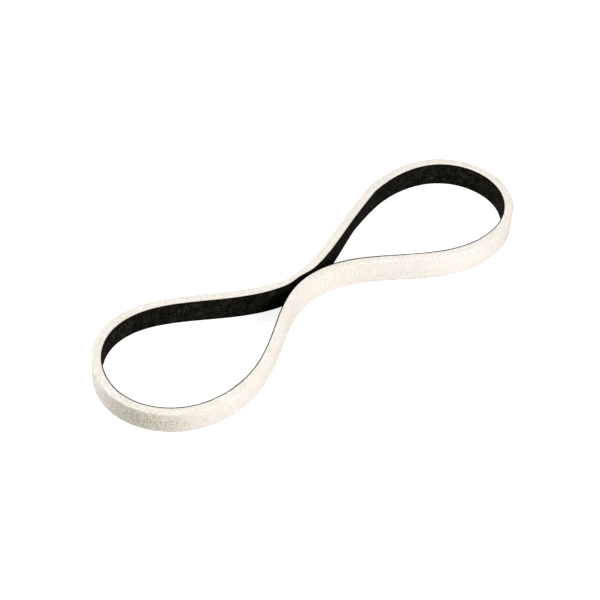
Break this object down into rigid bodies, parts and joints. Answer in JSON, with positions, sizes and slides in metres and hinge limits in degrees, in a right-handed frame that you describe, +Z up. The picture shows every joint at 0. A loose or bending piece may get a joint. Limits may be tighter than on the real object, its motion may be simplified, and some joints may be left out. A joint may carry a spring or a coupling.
{
  "type": "polishing belt",
  "caption": "Narrow closed polishing belt of thick wool felt on a thin dark backing, standing on its edge and sprung into rounded lobes either side of a narrow waist.",
  "frame": {"origin": "under the middle of the belt's outer box, on the surface that the belt stands on", "axes": "+X along the belt's long axis, towards the lobe beside the splice; +Y across it, towards the wall that holds the splice; +Z up, along the belt's width"},
  "size_m": [0.2659, 0.0774, 0.0127],
  "materials": {
    "wool_felt": "matt off-white pressed wool felt with a fine fibre texture",
    "dark_backing": "near-black coated cloth with a fine uneven weave, slightly less matt than the felt"
  },
  "bodies": {
    "root": {"felt_band": "wool_felt", "backing_band": "dark_backing"}
  },
  "joints": []
}
